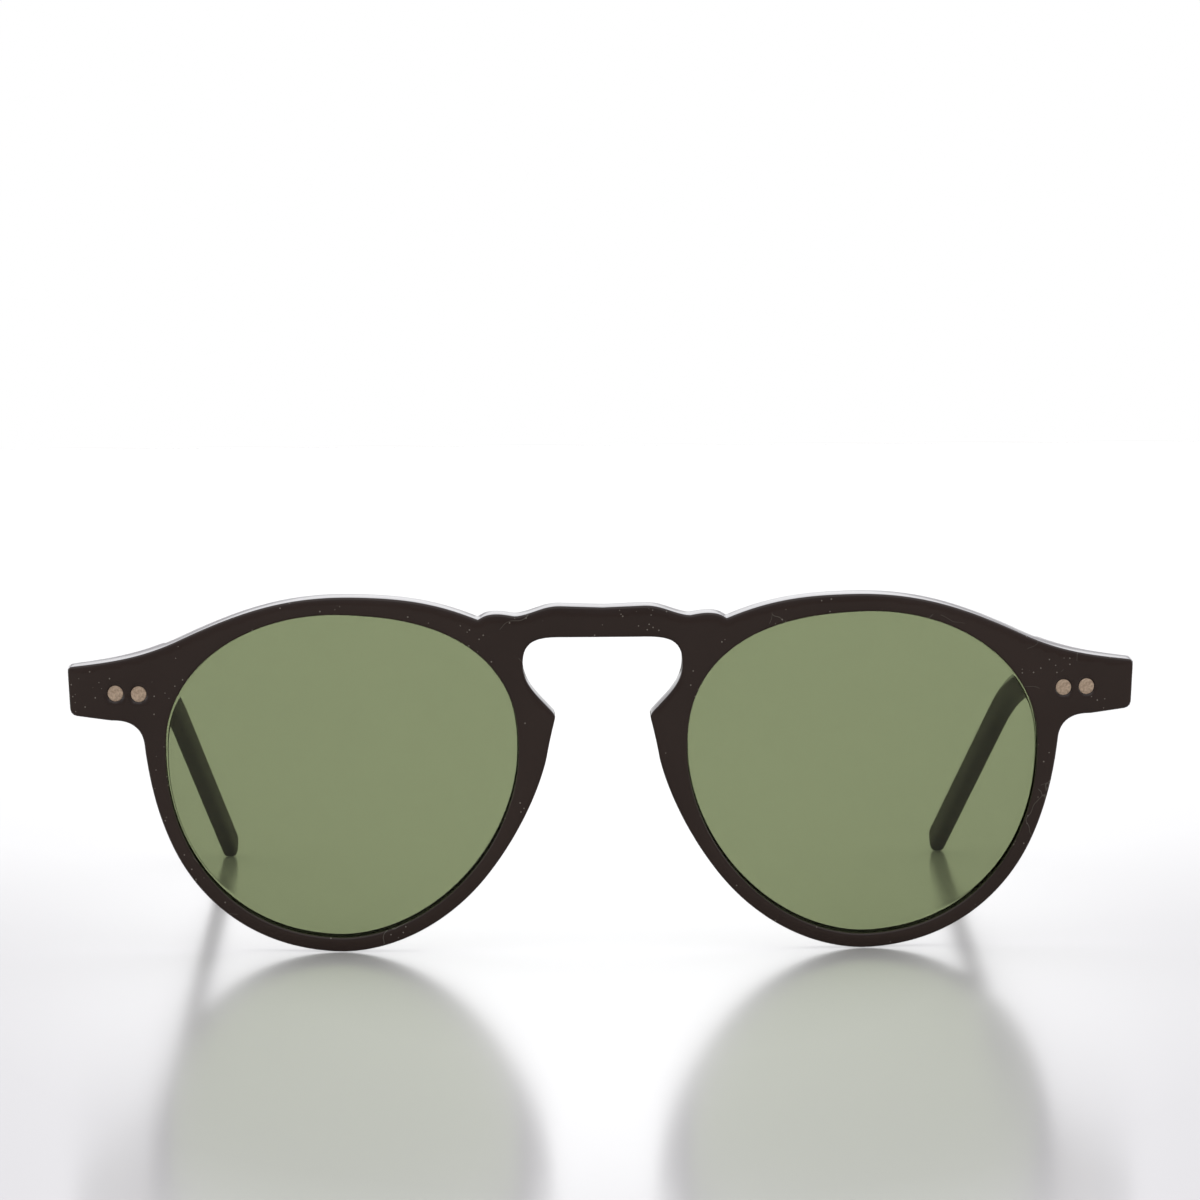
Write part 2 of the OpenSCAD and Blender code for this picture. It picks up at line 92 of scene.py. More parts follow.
# Distances from the middle of the front
EYE_X = EYE_GAP / 2 + EYE_W / 2
BROW_X = EYE_X - 1.3
END_X = EYE_X + EYE_W / 2 + END_L
KEY_X = KEY_W / 2
NECK_X = NECK_W / 2
HINGE_X = END_X - HINGE_IN
RIVET_X = END_X - RIVET_IN
RIVET_MID = RIVET_X - RIVET_PITCH / 2
FRONT_RIVETS = {"outer": RIVET_X, "inner": RIVET_X - RIVET_PITCH}

# The rim grows towards the widest line of the eye, over this height below it
SIDE_SWELL, NOSE_SWELL = 13.0, 15.0
# How square each quarter of the eye is, from the temple side of the brow round; 2 is an ellipse
EYE_POWERS = (2.0, 2.45, 1.85, 2.15)


# The outline of the front, in its own plane

def along(p, degrees, length):
    a = math.radians(degrees)
    return (p[0] + length * math.cos(a), p[1] + length * math.sin(a))


def flow(p, p_angle, q, q_angle, steps, pull=0.37):
    """A smooth curve from p to q that leaves and arrives in the given directions, without q."""
    reach = pull * math.dist(p, q)
    a, b = along(p, p_angle, reach), along(q, q_angle, -reach)
    line = []
    for i in range(steps):
        t = i / steps
        s = 1 - t
        weights = (s ** 3, 3 * s * s * t, 3 * s * t * t, t ** 3)
        line.append(tuple(sum(w * c[k] for w, c in zip(weights, (p, a, b, q))) for k in (0, 1)))
    return line


def eye_power(degrees):
    return EYE_POWERS[int(degrees % 360 // 90)]


def eye_half(degrees):
    """Height of the eye from its widest line to its top or to its bottom."""
    return EYE_TOP if degrees % 360 <= 180 else EYE_H - EYE_TOP


def turned(p):
    c, s = math.cos(math.radians(EYE_TURN)), math.sin(math.radians(EYE_TURN))
    return (p[0] * c - p[1] * s, p[0] * s + p[1] * c)


def eye_local(degrees, grow=0.0):
    """A point of the eye about its own middle. Angle 0 is the temple side and 90 the brow."""
    n, a = eye_power(degrees), math.radians(degrees)
    c, s = math.cos(a), math.sin(a)
    return ((EYE_W / 2 + grow) * math.copysign(abs(c) ** (2 / n), c),
            (eye_half(degrees) + grow) * math.copysign(abs(s) ** (2 / n), s))


def eye_point(degrees, grow=0.0):
    x, y = turned(eye_local(degrees, grow))
    return (EYE_X + x, EYE_Y + y)


def eye_normal(degrees):
    n, p = eye_power(degrees), eye_local(degrees)
    radii = (EYE_W / 2, eye_half(degrees))
    slope = [math.copysign(abs(v / r) ** (n - 1) / r, v) for v, r in zip(p, radii)]
    size = math.hypot(*slope)
    return turned((slope[0] / size, slope[1] / size))


def rim_point(degrees):
    """The rim's outer edge, which follows the eye at the rim's own width."""
    below = -eye_local(degrees)[1]
    swell, full = (NOSE_SWELL, RIM_NOSE) if degrees < 270 else (SIDE_SWELL, RIM_SIDE)
    width = RIM_BOTTOM + (full - RIM_BOTTOM) * max(0.0, 1 - below / swell) ** 2
    p, n = eye_point(degrees), eye_normal(degrees)
    return (p[0] + width * n[0], p[1] + width * n[1])


def half_outline():
    """The wearer's left half of the outline, clockwise from the middle of the bridge."""
    # The top edge dips beside the bridge, swells in a small bump and has a notch before the brow
    bridge_end = (KEY_X - 4.8, BRIDGE_Y + 0.1)
    dip = (KEY_X + 0.9, BRIDGE_Y - 1.25)
    bump = (KEY_X + 3.3, BRIDGE_Y - 0.95)
    notch = (KEY_X + 5.8, BRIDGE_Y - 1.7)
    brow = (BROW_X, BROW_Y)
    # The brow falls over a shoulder to the corner of the end piece, which comes back under it to the rim
    shoulder = (BROW_X + 0.6 * (END_X - BROW_X), BROW_Y + 0.6 * (END_TOP - BROW_Y))
    corner = (END_X - 0.5, END_TOP + 0.05)
    under = (END_X - 5.8, END_LOW - 0.45)
    # The keyhole has a narrow neck below its round belly
    neck = (NECK_X, NECK_Y)
    neck_low, neck_high = along(neck, -76, 0.5), along(neck, 48, 0.5)
    belly = (KEY_X, BELLY_Y)
    key_end = (KEY_X - 4.8, KEY_TOP)
    rim_steps = 120
    line = [(0.0, BRIDGE_Y - 0.1)]
    line += flow(bridge_end, 0, dip, -8, 12)
    line += flow(dip, 8, bump, 0, 6)
    line += flow(bump, 0, notch, -40, 6)
    line += flow(notch, 22, brow, 0, 24)
    line += flow(brow, 0, shoulder, -26, 30)
    line += flow(shoulder, -26, corner, -8, 20)
    line += flow(corner, -8, (END_X, END_TOP - 0.5), -90, 4)
    line += flow((END_X - 0.3, END_LOW + 0.9), -92, (END_X - 1.3, END_LOW), -184, 6)
    line += flow(under, -184, rim_point(359), -94, 12, 0.45)
    line += [rim_point(359 - i * 179 / rim_steps) for i in range(rim_steps)]
    line += flow(rim_point(180), 100, neck_low, 104, 8)
    line += flow(neck_low, 104, neck_high, 48, 5)
    line += flow(neck_high, 48, belly, 90, 16)
    line += flow(belly, 90, key_end, 180, 16, 0.5)
    line += [key_end, (0.0, KEY_TOP)]
    return line


# Places: from the plane of the front, and from a hinge, to metres in the frame

def bow(x, y, depth=0.0):
    """How far behind the plane of the front its bowed face lies, at a depth under the face."""
    return BOW_R - math.sqrt((BOW_R - depth) ** 2 - x * x - (y - EYE_Y) ** 2)


FOOT = bow(EYE_X, 0) * math.sin(LEAN)


def leant(x, depth, y):
    """A place in the plane of the front, leant over and stood on the table."""
    c, s = math.cos(LEAN), math.sin(LEAN)
    return (x, depth * c - y * s, depth * s + y * c - FOOT)


AXIS_BACK = LEAF_T + BARREL_R + BARREL_STAND
SEAT = leant(RIVET_MID, bow(RIVET_MID, END_Y), END_Y)
HINGE_Y = SEAT[1] + END_T + (HINGE_X - RIVET_MID) * math.tan(TOE_IN) + AXIS_BACK / math.cos(TOE_IN)
HINGE_Z = SEAT[2]
# The frame's origin lies under the middle of the whole, this far behind that of the front
MID_Y = HINGE_Y - frame["joints"][0]["pos_m"][1] / MM


def front_place(x, depth, y):
    p = leant(x, depth, y)
    return Vector((p[0], p[1] - MID_Y, p[2])) * MM


def hinge_place(side, x, y, z):
    """A place given in a hinge's own frame: x away from the head, y back along the temple, z up."""
    c, s = math.cos(TOE_IN), math.sin(TOE_IN)
    return Vector((side * (HINGE_X + x * c - y * s), HINGE_Y - MID_Y + x * s + y * c, HINGE_Z + z)) * MM


# Shader nodes

class Nodes:
    """Adds shader nodes to a tree. An input is the output of another node or a plain value."""

    def __init__(self, tree):
        self.tree = tree

    def node(self, kind, inputs=(), **settings):
        made = self.tree.nodes.new("ShaderNode" + kind)
        for key, value in settings.items():
            setattr(made, key, value)
        for key, value in dict(inputs).items():
            if isinstance(value, bpy.types.NodeSocket):
                self.tree.links.new(value, made.inputs[key])
            else:
                made.inputs[key].default_value = value
        return made

    def split(self, vector):
        parts = self.node("SeparateXYZ", {"Vector": vector}).outputs
        return parts["X"], parts["Y"], parts["Z"]

    def maths(self, operation, *inputs):
        return self.node("Math", enumerate(inputs), operation=operation).outputs[0]

    def span(self, value, low, high, to_low=0.0, to_high=1.0):
        """Goes from to_low to to_high while the value goes from low to high, and no further."""
        inputs = {"Value": value, "From Min": low, "From Max": high, "To Min": to_low, "To Max": to_high}
        return self.node("MapRange", inputs).outputs["Result"]

    def mix(self, factor, first, second):
        inputs = {"Factor": factor, "A": first, "B": second}
        return self.node("Mix", inputs, data_type="RGBA").outputs["Result"]

    def ramp(self, value, stops, interpolation="LINEAR"):
        """Colours by value, given as (value, colour) stops."""
        made = self.node("ValToRGB", {"Fac": value})
        ramp = made.color_ramp
        ramp.interpolation = interpolation
        while len(ramp.elements) < len(stops):
            ramp.elements.new(0.5)
        for element, (place, colour) in zip(ramp.elements, stops):
            element.position = place
            element.color = (*colour, 1)
        return made.outputs["Color"]


class Shader(Nodes):
    """Builds one node material."""

    def __init__(self, name):
        self.material = bpy.data.materials.new(name)
        self.material.use_nodes = True
        super().__init__(self.material.node_tree)
        self.surface = self.tree.nodes["Principled BSDF"].inputs
        self.place = self.node("TexCoord").outputs["Object"]

    def put(self, **values):
        for key, value in values.items():
            self.surface[key.replace("_", " ")].default_value = value

    def link(self, source, target):
        self.tree.links.new(source, self.surface[target])

    def noise(self, scale, detail=3.0, rough=0.5, squeeze=None):
        vector = self.place
        if squeeze:
            vector = self.node("Mapping", {"Vector": vector, "Scale": squeeze}).outputs["Vector"]
        inputs = {"Vector": vector, "Scale": scale, "Detail": detail, "Roughness": rough}
        return self.node("TexNoise", inputs).outputs["Fac"]

    def bump(self, height, strength, distance):
        inputs = {"Height": height, "Strength": strength, "Distance": distance}
        return self.node("Bump", inputs).outputs["Normal"]


def grey(level):
    return (level, level, level)


# Materials

DUST_COLOUR = (0.16, 0.14, 0.12, 1)
SCRATCH_COLOUR = (0.07, 0.06, 0.05, 1)


def scratched(s, colour):
    """A few hair scratches, which are thin stretches of the borders of bent cells."""
    drift = s.node("TexNoise", {"Vector": s.place, "Scale": 130.0}).outputs["Color"]
    bent = s.node("VectorMath", {0: drift, 1: grey(0.012), 2: s.place}, operation="MULTIPLY_ADD")
    inputs = {"Vector": bent.outputs["Vector"], "Scale": 105.0}
    cells = s.node("TexVoronoi", inputs, feature="DISTANCE_TO_EDGE")
    thin = s.maths("LESS_THAN", cells.outputs["Distance"], 0.0045)
    seldom = s.maths("GREATER_THAN", s.noise(110, 1.0), 0.595)
    return s.mix(s.maths("MULTIPLY", thin, seldom), colour, SCRATCH_COLOUR)


def dusty(s, colour):
    """Fine specks of dust, in the middles of small cells and thicker in some places than in others."""
    cells = s.node("TexVoronoi", {"Vector": s.place, "Scale": 1250.0})
    near = s.maths("LESS_THAN", cells.outputs["Distance"], 0.125)
    chosen = s.maths("GREATER_THAN", s.noise(220, 2.0), 0.53)
    return s.mix(s.maths("MULTIPLY", near, chosen), colour, DUST_COLOUR)


def make_acetate():
    """Polished black-brown acetate of a worn pair."""
    s = Shader("acetate_black_brown")
    s.put(IOR=1.49)
    base = s.ramp(s.noise(60, 2.0), [(0.3, (0.0245, 0.015, 0.012)), (0.7, (0.0295, 0.0185, 0.015))])
    s.link(dusty(s, scratched(s, base)), "Base Color")
    s.link(s.ramp(s.noise(45, 4.0, 0.6), [(0.35, grey(0.09)), (0.75, grey(0.17))]), "Roughness")
    s.link(s.bump(s.noise(900, 2.0), 0.04, 0.0002), "Normal")
    return s.material


def make_lens():
    """Clear green glass."""
    s = Shader("lens_green")
    s.put(Base_Color=(0.221, 0.258, 0.138, 1), IOR=1.5, Transmission_Weight=1.0)
    s.link(s.ramp(s.noise(70, 2.0), [(0.3, grey(0.0)), (0.9, grey(0.012))]), "Roughness")
    return s.material


def make_rivet():
    """Soft coppery metal, turned flat and dulled, so that it takes the room's light from all round."""
    s = Shader("rivet_metal")
    s.put(Metallic=0.4)
    grain = s.noise(3200, 3.0, 0.6)
    s.link(s.ramp(grain, [(0.35, (0.4, 0.285, 0.2)), (0.65, (0.66, 0.51, 0.375))]), "Base Color")
    s.link(s.ramp(s.noise(1500, 2.0), [(0.3, grey(0.35)), (0.7, grey(0.6))]), "Roughness")
    s.link(s.bump(grain, 0.4, 0.00006), "Normal")
    return s.material


def make_steel():
    """Brushed steel of the hinges and wires, with its grain lying level."""
    s = Shader("hinge_steel")
    s.put(Metallic=1.0)
    s.link(s.ramp(s.noise(300, 3.0), [(0.3, (0.42, 0.4, 0.37)), (0.7, (0.6, 0.58, 0.54))]), "Base Color")
    grain = s.noise(900, 4.0, 0.6, squeeze=(1, 1, 14))
    s.link(s.ramp(grain, [(0.3, grey(0.25)), (0.7, grey(0.4))]), "Roughness")
    s.link(s.bump(grain, 0.2, 0.0001), "Normal")
    return s.material


# By the record's material slots
MATERIALS = {
    "acetate": make_acetate(),
    "lens": make_lens(),
    "hinge_steel": make_steel(),
    "rivet": make_rivet(),
}


# Meshes

def add_piece(name, points, faces, material, body, node, location=(0, 0, 0)):
    """One smooth piece of the object, which stands for a node and moves with a body."""
    mesh = bpy.data.meshes.new(name)
    mesh.from_pydata([tuple(p) for p in points], [], faces)
    mesh.validate()
    mesh.update()
    mesh.materials.append(MATERIALS[material])
    mesh.shade_smooth()
    piece = bpy.data.objects.new(name, mesh)
    bpy.context.scene.collection.objects.link(piece)
    piece.location = location
    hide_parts(node)
    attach(piece, body)
    face_outwards(mesh)


def face_outwards(mesh):
    made = bmesh.new()
    made.from_mesh(mesh)
    bmesh.ops.recalc_face_normals(made, faces=made.faces)
    made.to_mesh(mesh)
    made.free()


class Skin:
    """Collects the points and faces of one closed skin. A ring is a list of the ids of its points."""

    def __init__(self):
        self.points, self.faces = [], []

    def ring(self, places):
        start = len(self.points)
        self.points.extend(places)
        return list(range(start, len(self.points)))

    def strip(self, a, b):
        for i in range(len(a)):
            j = (i + 1) % len(a)
            self.faces.append((a[i], a[j], b[j], b[i]))

    def strips(self, rings):
        for a, b in zip(rings, rings[1:]):
            self.strip(a, b)

    def cap(self, ring, middle):
        tip = self.ring([middle])[0]
        for i in range(len(ring)):
            self.faces.append((ring[i], ring[(i + 1) % len(ring)], tip))

    def add(self, name, material, body, node):
        """Makes the piece, held inside the CAD model's box."""
        inside = np.clip(np.array(self.points), cad_box[0], cad_box[1])
        add_piece(name, inside, self.faces, material, body, node)


def resample(line, step):
    """A closed line with points about a step apart."""
    line = np.array(line + [line[0]])
    length = np.concatenate([[0], np.cumsum(np.hypot(*np.diff(line, axis=0).T))])
    count = max(8, round(length[-1] / step))
    at = np.arange(count) * length[-1] / count
    return np.stack([np.interp(at, length, line[:, k]) for k in (0, 1)], 1)


def inward(line, solid_left):
    """Unit vectors from a closed line into the material, which is on its left or on its right."""
    ahead = np.roll(line, -1, 0) - line
    behind = line - np.roll(line, 1, 0)
    ahead /= np.hypot(*ahead.T)[:, None]
    behind /= np.hypot(*behind.T)[:, None]
    way = ahead + behind
    way /= np.hypot(*way.T)[:, None]
    left = np.stack([-way[:, 1], way[:, 0]], 1)
    return left if solid_left else -left


def circle(middle, radius, steps=32):
    angles = np.arange(steps) * 2 * math.pi / steps
    return np.stack([middle[0] + radius * np.cos(angles), middle[1] + radius * np.sin(angles)], 1)


def nearest(points, others):
    """Distance from each point to the nearest of the others."""
    return np.sqrt(((points[:, None] - others[None]) ** 2).sum(-1)).min(1)


def in_polygon(points, polygon):
    """Which of the points lie inside a closed line."""
    x, y = points[:, 0], points[:, 1]
    inside = np.zeros(len(points), bool)
    for (x0, y0), (x1, y1) in zip(polygon, np.roll(polygon, -1, 0)):
        if y0 != y1:
            inside ^= ((y0 > y) != (y1 > y)) & (x < (x1 - x0) * (y - y0) / (y1 - y0) + x0)
    return inside


def in_face(points, loops):
    """Which of the points lie inside the first closed line and outside all the others."""
    kept = in_polygon(points, loops[0][0])
    for line, _ in loops[1:]:
        kept &= ~in_polygon(points, line)
    return kept


def ease(t):
    """A smooth step from 0 to 1."""
    t = min(1.0, max(0.0, t))
    return t * t * (3 - 2 * t)


# The front

# Radius of the rounded edges, and their rings as shares of the quarter turn from wall to face
EDGE_R = 0.32
EDGE_STEPS = (0.0, 0.1, 0.3, 0.6, 1.0)
# How far the polished faces fall back at their edges, and over which width
CROWN, CROWN_W = 0.16, 1.7
# How far the eye wall is cut back before a lens, and how far the rim laps over it behind
UNDERCUT, REAR_LIP = 0.1, 0.18
# Distance between the points along the outline, along an eye and in the net of the faces
OUTLINE_STEP, EYE_STEP, NET_STEP = 0.45, 0.6, 0.8
# Where the flat seat of a hinge leaf starts on its inner and on its lower side, and its blends there
SEAT_START, SEAT_BLEND = EYE_X + EYE_W / 2 + RIM_SIDE - 2.6, 0.2
SEAT_LOW, SEAT_LOW_BLEND = END_Y - 1.5 * END_H, 2.4
RIVET_PLAY = 0.03


def crown(distance):
    """How far the polished face falls back near an edge."""
    t = np.clip(1 - distance / CROWN_W, 0, 1)
    return CROWN * t * t


def seat_depth(x, y):
    """Depth of the flat seat of the hinge leaf behind the end piece."""
    plane_y = SEAT[1] + END_T + (x - RIVET_MID) * math.tan(TOE_IN)
    return (plane_y + y * math.sin(LEAN)) / math.cos(LEAN)


def rear_depth(x, y):
    """Depth of the rear face, which is bowed and leads over into the two seats."""
    rear = bow(x, y, FRONT_T)
    across = ease((abs(x) - SEAT_START + SEAT_BLEND) / (2 * SEAT_BLEND))
    up = ease((y - SEAT_LOW) / SEAT_LOW_BLEND)
    return rear + (seat_depth(abs(x), y) - rear) * across * up


def face_depths(rear, points, gap):
    """Depths of points on the front or rear face, at a distance from the nearest edge."""
    falls = np.broadcast_to(crown(gap), len(points))
    if rear:
        return [rear_depth(x, y) - fall for (x, y), fall in zip(points, falls)]
    return [bow(x, y) + fall for (x, y), fall in zip(points, falls)]


def front_walls():
    """The closed lines of the outline and of both eyes, each with its vectors into the material."""
    half = half_outline()
    outline = resample(half + [(-x, y) for x, y in reversed(half) if x > 0], OUTLINE_STEP)
    walls = [(outline, inward(outline, solid_left=False))]
    eye = resample([eye_point(a) for a in np.arange(0, 360, 1.5)], EYE_STEP)
    for side in SIDES.values():
        line = eye * (side, 1)
        walls.append((line, inward(line, solid_left=side < 0)))
    return walls


def round_edge(skin, line, normal, rear):
    """The rounded edge between a wall and a face. Gives its ring at the wall and that at the face."""
    rings = []
    for t in EDGE_STEPS:
        inset = EDGE_R * (1 - math.cos(t * math.pi / 2))
        sink = EDGE_R * (1 - math.sin(t * math.pi / 2)) * (-1 if rear else 1)
        points = line + normal * inset
        depths = face_depths(rear, points, inset)
        rings.append(skin.ring([front_place(x, d + sink, y) for (x, y), d in zip(points, depths)]))
    skin.strips(rings)
    return rings[0], rings[-1]


def groove(skin, line, normal):
    """The rings of an eye wall between its edges: the undercut, the groove and the lip behind."""
    near, far = LENS_SET - LENS_PLAY, LENS_SET + LENS_T + LENS_PLAY
    deep = GROOVE_D + LENS_PLAY
    rings = []
    for inset, depth in ((UNDERCUT, near), (deep, near), (deep, far), (-REAR_LIP, far)):
        points = line + normal * inset
        rings.append(skin.ring([front_place(x, bow(x, y, depth), y) for x, y in points]))
    return rings


def rivet_seat(skin, x):
    """The blind seat of a rivet's head. Gives its edge in the front face as (points, ring)."""
    hole = circle((x, END_Y), RIVET_HEAD_R + RIVET_PLAY)
    top = skin.ring([front_place(a, bow(a, b), b) for a, b in hole])
    low = skin.ring([front_place(a, bow(a, b) + RIVET_HEAD_H, b) for a, b in hole])
    skin.strip(top, low)
    skin.cap(low, front_place(x, bow(x, END_Y) + RIVET_HEAD_H, END_Y))
    return hole, top


def fill(skin, loops, edge_points, rear):
    """Fills a face between its closed lines, given as (points, ring), with an even net of triangles."""
    flat = [tuple(p) for line, _ in loops for p in line]
    ids = [i for _, ring in loops for i in ring]
    edges = []
    for line, _ in loops:
        start, count = len(edges), len(line)
        edges += [(start + i, start + (i + 1) % count) for i in range(count)]
    rows = enumerate(np.arange(0, BROW_Y, NET_STEP * 0.866))
    columns = np.arange(-END_X, END_X, NET_STEP)
    net = np.array([(x + NET_STEP / 2 * (k % 2), y) for k, y in rows for x in columns])
    net = net[nearest(net, np.array(flat)) > 0.4 * NET_STEP]
    net = net[in_face(net, loops)]
    depths = face_depths(rear, net, nearest(net, edge_points))
    ids += skin.ring([front_place(x, d, y) for (x, y), d in zip(net, depths)])
    flat += [tuple(p) for p in net]
    _, _, cells, origin, _, _ = delaunay_2d_cdt([Vector(p) for p in flat], edges, [], 0, 1e-7)
    cells = np.array([[origin[i][0] for i in cell] for cell in cells])
    cells = cells[in_face(np.array(flat)[cells].mean(1), loops)]
    skin.faces += [tuple(ids[i] for i in cell) for cell in cells]


def build_front():
    """The front as one closed skin: its faces, outer wall, grooved eye walls and rivet seats."""
    skin = Skin()
    walls = front_walls()
    at_wall, loops = {}, {}
    for rear in (False, True):
        edges = [round_edge(skin, line, normal, rear) for line, normal in walls]
        at_wall[rear] = [first for first, _ in edges]
        loops[rear] = [(line + normal * EDGE_R, last) for (line, normal), (_, last) in zip(walls, edges)]
    skin.strip(at_wall[False][0], at_wall[True][0])
    for (line, normal), front, back in zip(walls[1:], at_wall[False][1:], at_wall[True][1:]):
        skin.strips([front, *groove(skin, line, normal), back])
    for side in SIDES.values():
        for x in FRONT_RIVETS.values():
            loops[False].append(rivet_seat(skin, side * x))
    edge_points = np.concatenate([line for line, _ in walls])
    for rear in (False, True):
        fill(skin, loops[rear], edge_points, rear)
    return skin


# The lenses

LENS_BEVEL = 0.12


def build_lens(side):
    """A lens that follows the bow, in rings from the middle of its front to the middle of its back."""
    skin = Skin()
    edge = np.array([eye_point(a, GROOVE_D) for a in np.arange(0, 360, 2.5)])
    middle = np.array((EYE_X, EYE_Y))
    shares = np.linspace(0.04, 0.995, 22)
    rows = [(t, LENS_SET) for t in shares]
    rows += [(1.0, LENS_SET + LENS_BEVEL), (1.0, LENS_SET + LENS_T - LENS_BEVEL)]
    rows += [(t, LENS_SET + LENS_T) for t in reversed(shares)]

    def place(p, depth):
        return front_place(side * p[0], bow(p[0], p[1], depth), p[1])

    rings = [skin.ring([place(middle + t * (p - middle), depth) for p in edge]) for t, depth in rows]
    skin.strips(rings)
    skin.cap(rings[0], place(middle, LENS_SET))
    skin.cap(rings[-1], place(middle, LENS_SET + LENS_T))
    return skin


# The temples, in the hinge's own frame

TEMPLE_T, TIP_T, TEMPLE_H, TIP_H, TAPER_L = 3.2, 2.4, 6.4, 4.0, 50.0
BEND_AT, BEND_R, TEMPLE_FALL, TIP_FALL = 54.0, 80.0, math.radians(3), math.radians(24.5)
TEMPLE_STAND, BUTT_GAP = 0.15, 0.1
TEMPLE_IN = BARREL_R + TEMPLE_STAND
TEMPLE_OUT = TEMPLE_IN + TEMPLE_T
TEMPLE_FRONT = BUTT_GAP - AXIS_BACK
BEND_Z = -BEND_AT * math.tan(TEMPLE_FALL)
TIP_Z = TIP_H / 2 - HINGE_Z
TEMPLE_RIVETS = {"front": 5.0, "rear": 9.0}
# How square the section is at the hinge, and how much less so at the tip; 2 is an ellipse
SECTION_POWER, POWER_LOSS = 4.5, 1.2
# Rings of the rounded butt, as (distance behind the butt, share of the whole section)
BUTT_RINGS = ((0.0, 0.55), (0.0, 0.86), (0.04, 0.93), (0.14, 0.97), (0.3, 0.993))
# Rings of the round tip, as angles from its start
TIP_RINGS = (12, 24, 36, 48, 60, 70, 79)


def bend_point(fall):
    """A point of the bend behind the ear, as (back, up)."""
    return (BEND_AT + BEND_R * (math.sin(fall) - math.sin(TEMPLE_FALL)),
            BEND_Z - BEND_R * (math.cos(TEMPLE_FALL) - math.cos(fall)))


def temple_line():
    """The middle line of a temple as (back, up, fall)."""
    straight = np.linspace(TEMPLE_FRONT, BEND_AT, 30, endpoint=False)
    line = [(y, -y * math.tan(TEMPLE_FALL), TEMPLE_FALL) for y in straight]
    line += [(*bend_point(fall), fall) for fall in np.linspace(TEMPLE_FALL, TIP_FALL, 24, endpoint=False)]
    end_y, end_z = bend_point(TIP_FALL)
    reach = end_y + (end_z - TIP_Z) / math.tan(TIP_FALL)
    for t in np.linspace(0, 1, 25):
        line.append((end_y + t * (reach - end_y), end_z + t * (TIP_Z - end_z), TIP_FALL))
    return line


def section(power, steps=40):
    """A rounded rectangle of half-width and half-height 1."""
    ring = []
    for k in range(steps):
        a = 2 * math.pi * (k + 0.5) / steps
        c, s = math.cos(a), math.sin(a)
        ring.append((math.copysign(abs(c) ** (2 / power), c), math.copysign(abs(s) ** (2 / power), s)))
    return ring


def temple_ring(skin, side, back, up, fall, share=1.0):
    """A ring of the temple about a point of its middle line."""
    t = ease(back / TAPER_L)
    half_h = (TEMPLE_H + (TIP_H - TEMPLE_H) * t) / 2 * share
    half_t = (TEMPLE_T + (TIP_T - TEMPLE_T) * t) / 2
    middle_x = TEMPLE_OUT - half_t
    ring = []
    for u, v in section(SECTION_POWER - POWER_LOSS * t):
        y = back + half_h * v * math.sin(fall)
        z = up + half_h * v * math.cos(fall)
        ring.append(hinge_place(side, middle_x + half_t * share * u, y, z))
    return skin.ring(ring)


def build_temple(side):
    """A temple as one closed skin, from its rounded butt to its round tip."""
    skin = Skin()
    line = temple_line()
    back, up, fall = line[0]
    butt = hinge_place(side, TEMPLE_OUT - TEMPLE_T / 2, back, up)
    rings = [temple_ring(skin, side, back + inset, up, fall, share) for inset, share in BUTT_RINGS]
    rings += [temple_ring(skin, side, *point) for point in line[1:]]
    back, up, fall = line[-1]
    for t in np.radians(TIP_RINGS):
        reach = TIP_H / 2 * math.sin(t)
        point = (back + reach * math.cos(fall), up - reach * math.sin(fall), fall)
        rings.append(temple_ring(skin, side, *point, math.cos(t)))
    end = (back + TIP_H / 2 * math.cos(fall), up - TIP_H / 2 * math.sin(fall))
    skin.strips(rings)
    skin.cap(rings[0], butt)
    skin.cap(rings[-1], hinge_place(side, TEMPLE_OUT - TIP_T / 2, *end))
    return skin


# The nose pads

PAD_H, PAD_W, PAD_REACH, PAD_SPLAY = 11.0, 3.0, 3.4, math.radians(18)
PAD_MID = NECK_Y + 0.05 * PAD_H
# How far a pad lies in from the edge of the keyhole, short of its reach, and sunk into the front
PAD_INSET, PAD_SHORT, PAD_SUNK = 0.1, 0.2, 0.4
PAD_ROWS, PAD_COLUMNS = 29, 17


def dome(share, power):
    """Height of a flattened dome of height 1, at a share of the way from its middle to its edge."""
    return (1 - abs(share) ** power) ** (1 / power) if abs(share) < 1 else 0.0


def pad_rows():
    """The crowned face of a pad, as rows of points across the rim from its low end up."""
    outline = np.array([p for p in half_outline() if p[0] < KEY_X and NECK_Y - PAD_H < p[1] < BELLY_Y])
    outline = outline[np.argsort(outline[:, 1])]
    rows = []
    for v in np.linspace(-1, 1, PAD_ROWS):
        y = PAD_MID + v * PAD_H / 2
        edge = np.interp(y, outline[:, 1], outline[:, 0])
        swell = dome(v, 2.4)
        row = []
        for u in np.linspace(-1, 1, PAD_COLUMNS):
            lift = (PAD_REACH - PAD_SHORT) * swell ** 0.9 * dome(u, 2.6)
            across = (PAD_W - PAD_INSET) * (u + 1) / 2 * (0.55 + 0.45 * swell)
            x = edge + PAD_INSET + across + lift * math.tan(PAD_SPLAY)
            row.append((x, bow(x, y, FRONT_T) + lift, y))
        rows.append(row)
    return rows


